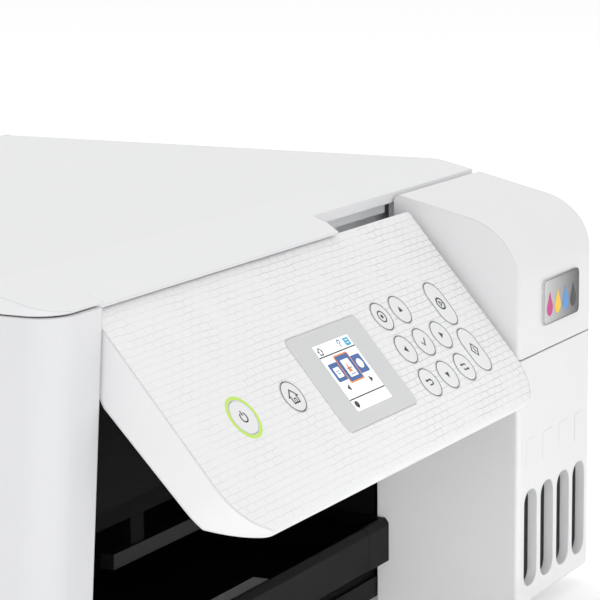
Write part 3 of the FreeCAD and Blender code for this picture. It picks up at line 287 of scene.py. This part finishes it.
BADGE_LOW, BADGE_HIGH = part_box("badge")
M = {
    "shell": moulded("moulded_abs_spark_grain", "#e1e1e3", "#dedfe0", 0.9, 0.06, 0.5, edge_mm=1.0),
    "lid": moulded("moulded_abs_fine_grain", "#e8e8e9", "#e5e6e7", 1.4, 0.03, 0.46, edge_mm=0.6),
    "tank": moulded("moulded_abs_coarse_grain", "#e8e8e9", "#e5e5e6", 1.3, 0.13, 0.42, edge_mm=0.8),
    "panel": panel_abs(),
    "trim": moulded("moulded_abs_smooth", "#dfe0e1", "#dadbdd", 1.2, 0.02, 0.4, edge_mm=0.5),
    "dark": moulded("moulded_hips_black", "#090909", "#0d0d0e", 1.0, 0.05, 0.55,
                    edge_mm=0.5, ior=1.59, sheen=0.12),
    "liner": moulded("moulded_hips_matt_black", "#040404", "#070708", 1.2, 0.05, 0.7, ior=1.59, sheen=0.08),
    "bar": moulded("moulded_acetal_grey", "#202122", "#1b1c1d", 0.8, 0.03, 0.45,
                   edge_mm=0.5, ior=1.48, sheen=0.2),
    "rubber": moulded("cast_rubber", "#17171a", "#202022", 0.6, 0.08, 0.85, edge_mm=0.8, ior=1.52),
    "roller": moulded("ground_rubber_sleeve", "#2b2b2d", "#333335", 0.4, 0.06, 0.8, ior=1.52),
    "window": moulded("smoked_acrylic", "#030303", "#060607", 3.0, 0.01, 0.4, ior=1.49, sheen=0.15),
    "resin": moulded("blow_moulded_polypropylene", "#c9ccce", "#bfc3c6", 2.0, 0.05, 0.35, ior=1.49),
    "foam": moulded("closed_cell_foam", "#f2f2f1", "#e9e9e8", 0.7, 0.15, 0.9, ior=1.45),
    "key": moulded("moulded_abs_key", "#e9e9ea", "#e6e6e7", 1.0, 0.02, 0.42),
    "bezel": moulded("display_bezel_satin", "#d3d3d4", "#cfd0d1", 1.2, 0.02, 0.34),
    "steel": zinc_steel(),
    "glass": float_glass(),
    "board": circuit_board(),
    "badge": badge_metal(BADGE_LOW, BADGE_HIGH),
    # painted shade on the rims of keys and badge, not ink
    "outline": printed("painted_edge_shade_grey", "#4a4b4f"),
    "icon": printed("pad_print_charcoal", "#2c2d30"),
    "lime": printed("lit_ring_lime", "#b7d957", 0.12),
    "screen": printed("lit_display_white", "#f4f6f8", 0.25, 0.2),
    "screen_line": printed("lit_display_black", "#26282c", 0.0, 0.15),
    "screen_blue": printed("lit_display_blue", "#35609f", 0.08, 0.2),
    "screen_cyan": printed("lit_display_cyan", "#2ba6cc", 0.1, 0.15),
    "screen_orange": printed("lit_display_orange", "#e58a45", 0.1, 0.15),
    "ink_magenta": printed("lacquer_magenta", "#c4127e"),
    "ink_yellow": printed("lacquer_yellow", "#f4c315"),
    "ink_cyan": printed("lacquer_cyan", "#3d8fd3"),
    "ink_black": printed("lacquer_black", "#1b1b1d"),
}

FINISH = {
    "shell": ["main_case"],
    "lid": ["document_lid"],
    "tank": ["tank_housing", "tank_cover"],
    "panel": ["control_panel"],
    "trim": ["scanner_tray", "paper_support", "support_extension", "feeder_hopper", "edge_guide_left",
             "edge_guide_right", "paper_stopper"],
    "dark": ["base_pan", "output_tray", "tray_extension", "carriage", "maintenance_box", "ac_inlet",
             "scan_bar", "platen", "ink_cap_1", "ink_cap_2", "ink_cap_3", "ink_cap_4"],
    "liner": ["bay_liner"],
    "bar": ["star_wheel_bar"],
    "rubber": ["rubber_feet", "carriage_belt"],
    "roller": ["feed_roller", "exit_roller"],
    "steel": ["main_frame", "carriage_rail", "usb_port", "case_screws", "drive_pulley", "carriage_motor",
              "power_supply"],
    "window": ["ink_windows"],
    "resin": ["ink_tank_1", "ink_tank_2", "ink_tank_3", "ink_tank_4"],
    "foam": ["lid_pad"],
    "glass": ["scan_glass"],
    "board": ["main_board"],
    "bezel": ["lcd_module"],
    "badge": ["badge"],
    "key": [name for name in NODES if name.startswith("button_")],
}
for finish, names in FINISH.items():
    for name in names:
        NODES[name].data.materials.clear()
        NODES[name].data.materials.append(M[finish])


# ---------------------------------------------------------------- flat marks

class Surface:
    """A flat place on the object, with marks drawn in millimetres across it."""

    def __init__(self, node, across, up):
        self.across = across.normalized()
        self.up = up.normalized()
        self.out = self.across.cross(self.up)
        points = [v.co for v in NODES[node].data.vertices]
        top = max(p.dot(self.out) for p in points)
        rim = [p for p in points if p.dot(self.out) > top - 0.02 * MM]
        spans = []
        for direction in (self.across, self.up):
            reach = [p.dot(direction) for p in rim]
            spans.append((min(reach), max(reach)))
        middle = [(first + last) / 2 for first, last in spans]
        self.size = [last - first for first, last in spans]
        self.centre = self.across * middle[0] + self.up * middle[1] + self.out * top

    def at(self, x, y, height):
        return self.centre + (self.across * x + self.up * y + self.out * height) * MM


def circle(radius, count=40, x=0.0, y=0.0):
    turns = [2 * math.pi * i / count for i in range(count)]
    return [(x + radius * math.cos(a), y + radius * math.sin(a)) for a in turns]


def capsule(half_length, radius, count=24):
    """Outline of a pill with round ends."""
    points = []
    for end, first in ((1, -90), (-1, 90)):
        for i in range(count + 1):
            angle = math.radians(first + 180 * i / count)
            points.append((end * (half_length - radius) + radius * math.cos(angle), radius * math.sin(angle)))
    return points


def rounded(width, height, radius, x=0.0, y=0.0, count=6):
    points = []
    corners = ((1, 1, 0), (-1, 1, 90), (-1, -1, 180), (1, -1, 270))
    for sx, sy, first in corners:
        for i in range(count + 1):
            angle = math.radians(first + 90 * i / count)
            points.append((x + sx * (width / 2 - radius) + radius * math.cos(angle),
                           y + sy * (height / 2 - radius) + radius * math.sin(angle)))
    return points


def stroke(points, width, closed=False):
    """A band of even width along a line, as an outer and an inner edge."""
    count = len(points)
    left, right = [], []
    for i, point in enumerate(points):
        here = Vector(point)
        back = Vector(points[i - 1]) if (i or closed) else None
        ahead = Vector(points[(i + 1) % count]) if (i < count - 1 or closed) else None
        first = (here - back).normalized() if back is not None else (ahead - here).normalized()
        second = (ahead - here).normalized() if ahead is not None else first
        side = Vector((-(first + second).y, (first + second).x)).normalized()
        reach = width / 2 / max(0.4, side.dot(Vector((-first.y, first.x))))
        left.append(tuple(here + side * reach))
        right.append(tuple(here - side * reach))
    return left, right, closed


def mark(name, surface, body, material, plates=(), bands=(), height=0.05, sink=0.0):
    """Thin closed shapes on a surface: plates are outlines, bands are strokes or rings."""
    mesh = bmesh.new()

    def prism(loop):
        low = [mesh.verts.new(surface.at(x, y, -sink)) for x, y in loop]
        high = [mesh.verts.new(surface.at(x, y, height)) for x, y in loop]
        mesh.faces.new(high)
        mesh.faces.new(list(reversed(low)))
        for i in range(len(loop)):
            j = (i + 1) % len(loop)
            mesh.faces.new((low[i], low[j], high[j], high[i]))

    for loop in plates:
        prism(loop)
    for left, right, closed in bands:
        count = len(left)
        rows = [[mesh.verts.new(surface.at(x, y, h)) for x, y in side]
                for side, h in ((left, -sink), (right, -sink), (right, height), (left, height))]
        for i in range(count if closed else count - 1):
            j = (i + 1) % count
            for a in range(4):
                b = (a + 1) % 4
                mesh.faces.new((rows[a][i], rows[a][j], rows[b][j], rows[b][i]))
        if not closed:
            mesh.faces.new([row[0] for row in rows])
            mesh.faces.new([row[-1] for row in reversed(rows)])
    bmesh.ops.recalc_face_normals(mesh, faces=mesh.faces)
    data = bpy.data.meshes.new(name)
    mesh.to_mesh(data)
    mesh.free()
    data.materials.append(M[material])
    made = bpy.data.objects.new(name, data)
    bpy.context.scene.collection.objects.link(made)
    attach(made, body)


def ring(radius, width):
    return stroke(circle(radius, 48), width, closed=True)


def arc(radius, first, last, count=18, x=0.0, y=0.0):
    turns = [math.radians(first + (last - first) * i / count) for i in range(count + 1)]
    return [(x + radius * math.cos(a), y + radius * math.sin(a)) for a in turns]


def arrow(x, y, size, turn):
    """A solid arrow head pointing along an angle."""
    a = math.radians(turn)
    points = [(size, 0), (-size * 0.6, size * 0.95), (-size * 0.6, -size * 0.95)]
    along, aside = math.cos(a), math.sin(a)
    return [(x + u * along - v * aside, y + u * aside + v * along) for u, v in points]


# ---------------------------------------------------------------- key symbols

def key_surface(name):
    return Surface("button_" + name, PANEL_ACROSS, PANEL_UP)


def key_marks(name, plates=(), bands=()):
    """A dark band of painted shade on the key's rim, standing in for the shaded gap between key and panel,
    and the printed symbol inside it, both riding on the key.
    """
    surface = key_surface(name)
    half_width, half_height = (size / 2 / MM for size in surface.size)
    if half_height > half_width * 1.2:
        pill = capsule(half_height - RIM / 2, half_width - RIM / 2)
        outer = stroke([(-y, x) for x, y in pill], RIM, closed=True)
    else:
        outer = ring(half_width - RIM / 2, RIM)
    if name != "power":
        # Painted shade: a dark band on the key's rim where the gap between key and panel is shaded
        mark("outline_" + name, surface, "key_" + name, "outline", bands=[outer])
    mark("symbol_" + name, surface, "key_" + name, "icon", plates=plates, bands=bands)


def keys():
    key_marks("power", bands=[stroke(arc(1.9, 120, 420, 26), LINE), stroke([(0, 0.7), (0, 2.7)], LINE)])
    house = [(-3.0, 0.1), (0, 2.9), (3.0, 0.1), (2.0, 0.1), (2.0, -2.6), (-2.0, -2.6), (-2.0, 0.1)]
    door = [(-0.6, -2.6), (-0.6, -0.8), (0.6, -0.8), (0.6, -2.6)]
    key_marks("home", bands=[stroke(house, LINE, closed=True), stroke(door, 0.4)])
    key_marks("help", plates=[circle(0.9, 20)], bands=[ring(2.5, LINE)])
    key_marks("up", plates=[arrow(0, 0, ARROW, 90)])
    key_marks("down", plates=[arrow(0, 0, ARROW, -90)])
    key_marks("left", plates=[arrow(0, 0, ARROW, 180)])
    key_marks("right", plates=[arrow(0, 0, ARROW, 0)])
    key_marks("ok", bands=[stroke([(-2.0, 0.2), (-0.6, -1.4), (2.1, 1.6)], LINE)])
    turn_back = [(-1.5, 1.1), (1.0, 1.1)] + arc(1.1, 90, -90, 10, 1.0, 0.0) + [(-1.2, -1.1)]
    key_marks("back", plates=[arrow(-1.9, 1.1, 0.85, 180)], bands=[stroke(turn_back, LINE)])
    key_marks("swap", plates=[arrow(1.9, -1.2, 0.8, 0), arrow(-1.9, 1.2, 0.8, 180)],
              bands=[stroke([(-1.6, -0.5), (-1.2, -1.2), (1.5, -1.2)], LINE),
                     stroke([(1.6, 0.5), (1.2, 1.2), (-1.5, 1.2)], LINE)])
    key_marks("stop", bands=[ring(2.6, 0.8), stroke(circle(1.3, 3), 0.5, closed=True)])
    key_marks("start", bands=[stroke([(-2.7, 0), (0, 2.9), (2.7, 0), (0, -2.9)], LINE, closed=True),
                              stroke([(0, -1.2), (0, 1.2)], LINE)])


def power_ring():
    """Translucent lit ring set flush in the panel around the power key."""
    surface = key_surface("power")
    radius = surface.size[0] / 2 / MM
    band = stroke(circle(radius + RING_WIDTH, 64), RING_WIDTH, closed=True)
    mark("power_ring", surface, "panel", "lime", bands=[band], height=0.1, sink=KEY_PROUD + 0.05)


# ---------------------------------------------------------------- display

def display():
    """Lit screen with a plain picture menu and no words."""
    surface = Surface("lcd_module", PANEL_ACROSS, PANEL_UP)

    def shown(name, material, plates=(), bands=(), layer=1):
        height = SCREEN_FILM + SCREEN_LAYER * layer
        mark(name, surface, "panel", material, plates, bands, height=height)

    half = SCREEN_SIZE / 2
    shown("screen_glass", "screen", [rounded(SCREEN_SIZE, SCREEN_SIZE, 0.4)], layer=0)
    rules = [stroke([(-half, y), (half, y)], 0.5) for y in (SCREEN_RULE, -SCREEN_RULE)]
    shown("screen_rules", "screen_line", bands=rules)
    house = [(x * 0.62 - 11.4, y * 0.62 + 12.0) for x, y in
             [(-2.6, 0.1), (0, 2.5), (2.6, 0.1), (1.7, 0.1), (1.7, -2.3), (-1.7, -2.3), (-1.7, 0.1)]]
    shown("screen_house", "screen_line", bands=[stroke(house, 0.5, closed=True)])
    mast = [stroke([(5.2, 10.6), (5.2, 12.6)], 0.5), stroke(arc(1.0, -30, 210, 12, 5.2, 12.9), 0.5)]
    shown("screen_mast", "screen_blue", bands=mast)
    shown("screen_tag", "screen_cyan", [rounded(4.2, 3.4, 0.6, 11.2, 12.1)])
    shown("screen_tag_lines", "screen", bands=[stroke([(10.2, 12.8), (12.2, 12.8)], 0.3),
                                               stroke([(10.2, 11.6), (12.2, 11.6)], 0.3)], layer=2)
    shown("screen_tiles", "screen_blue", [rounded(7.6, 8.0, 0.8, x, 2.2) for x in (-9.3, 9.3)])
    shown("screen_frame", "screen_orange", [rounded(11.4, 12.4, 0.7, 0, 2.4)], layer=2)
    shown("screen_tile_middle", "screen_blue", [rounded(10.2, 11.2, 0.5, 0, 2.4)], layer=3)
    shown("screen_page", "screen", [rounded(6.2, 7.6, 0.3, 0, 2.2), rounded(4.4, 4.4, 0.4, -9.3, 2.0),
                                    circle(2.1, 24, 9.3, 2.2)], layer=4)
    shown("screen_page_flag", "screen_orange", [[(-1.9, 0.4), (0.9, 0.4), (-0.5, 4.6)]], layer=5)
    rows = [stroke([(-2.1, y), (2.1, y)], 0.35) for y in (-0.6, 2.0)]
    rows += [stroke([(-10.6, y), (-8.0, y)], 0.3) for y in (2.6, 1.4)]
    shown("screen_page_lines", "screen_blue", bands=rows, layer=5)
    shown("screen_arrows", "screen_line", [arrow(-9.3, -5.0, 1.5, 180), arrow(9.3, -5.0, 1.5, 0)])
    shown("screen_dot", "screen_line", [circle(1.5, 24, -12.0, -12.0)])


# ---------------------------------------------------------------- badge and tank front

def drop(x, y, size):
    """A drop outline: a round foot that draws up to a point."""
    points = arc(size, -200, 20, 22, x, y)
    shoulder = y + size * 1.25
    return points + [(x + size * 0.45, shoulder), (x, y + size * 2.2), (x - size * 0.45, shoulder)]


def tank_front():
    across, up = Vector((1, 0, 0)), Vector((0, 0, 1))
    plate = Surface("badge", across, up)
    for i, shade in enumerate(("ink_magenta", "ink_yellow", "ink_cyan", "ink_black")):
        outline = drop((i - 1.5) * DROP_PITCH, -3.0, DROP_SIZE)
        mark(f"badge_drop_{i + 1}", plate, "cover", shade, [outline], height=0.08)
    # Painted shade: a dark line just inside the badge's edge, standing in for shade at the raised plate's rim
    width, height = (size / MM - 0.8 for size in plate.size)
    rim = stroke(rounded(width, height, 2.2), 0.3, closed=True)
    mark("badge_rim", plate, "cover", "outline", bands=[rim])


keys()
power_ring()
display()
tank_front()


# ---------------------------------------------------------------- stage

def floor():
    half = FLOOR_HALF
    data = bpy.data.meshes.new("studio_floor")
    corners = [(-half, -half, 0), (half, -half, 0), (half, half, 0), (-half, half, 0)]
    data.from_pydata(corners, [], [(0, 1, 2, 3)])
    made = bpy.data.objects.new("studio_floor", data)
    bpy.context.scene.collection.objects.link(made)
    material, tree, shader, place = start("studio_paper", Roughness=0.9)
    tone = tint(tree, shader, colour("#ffffff"), colour("#fdfdfd"), noise(tree, place, 500))
    tree.links.new(tone, shader.inputs["Emission Color"])
    shader.inputs["Emission Strength"].default_value = FLOOR_GLOW
    data.materials.append(material)


def area_light(name, at, aim, size, power, spread=180.0):
    data = bpy.data.lights.new(name, "AREA")
    data.shape = "RECTANGLE"
    data.size, data.size_y = size
    data.energy = power
    data.spread = math.radians(spread)
    light = bpy.data.objects.new(name, data)
    light.location = at
    light.rotation_euler = (Vector(aim) - Vector(at)).to_track_quat("-Z", "Y").to_euler()
    bpy.context.scene.collection.objects.link(light)


def world():
    made = bpy.data.worlds.new("studio")
    made.use_nodes = True
    back = made.node_tree.nodes["Background"]
    back.inputs["Color"].default_value = colour("#ffffff")
    back.inputs["Strength"].default_value = WORLD_STRENGTH
    bpy.context.scene.world = made


def camera():
    data = bpy.data.cameras.new("view")
    data.lens = CAMERA_LENS
    data.sensor_width = 36.0
    data.clip_start = 0.01
    data.clip_end = 50.0
    level = math.cos(CAMERA_PITCH)
    forward = Vector((math.sin(CAMERA_YAW) * level, math.cos(CAMERA_YAW) * level, -math.sin(CAMERA_PITCH)))
    right = Vector((math.cos(CAMERA_YAW), -math.sin(CAMERA_YAW), 0.0))
    down = forward.cross(right)
    right_rolled = right * math.cos(CAMERA_ROLL) + down * math.sin(CAMERA_ROLL)
    down_rolled = down * math.cos(CAMERA_ROLL) - right * math.sin(CAMERA_ROLL)
    made = bpy.data.objects.new("view", data)
    axes = Matrix((right_rolled, -down_rolled, -forward)).transposed()
    made.matrix_world = Matrix.Translation(CAMERA_AT) @ axes.to_4x4()
    bpy.context.scene.collection.objects.link(made)
    bpy.context.scene.camera = made


floor()
world()
area_light("key_light", (-1.1, -1.4, 0.42), (0.08, -0.13, 0.08), (1.3, 0.6), 3.2)
area_light("top_light", (0.2, 0.3, 2.2), (0, 0, 0.1), (2.0, 2.0), 11)
area_light("bay_fill", (-0.75, -0.62, 0.03), (0.102, -0.10, 0.045), (0.1, 0.05), 0.02, spread=14.0)
camera()
bpy.context.scene.view_settings.view_transform = "Standard"
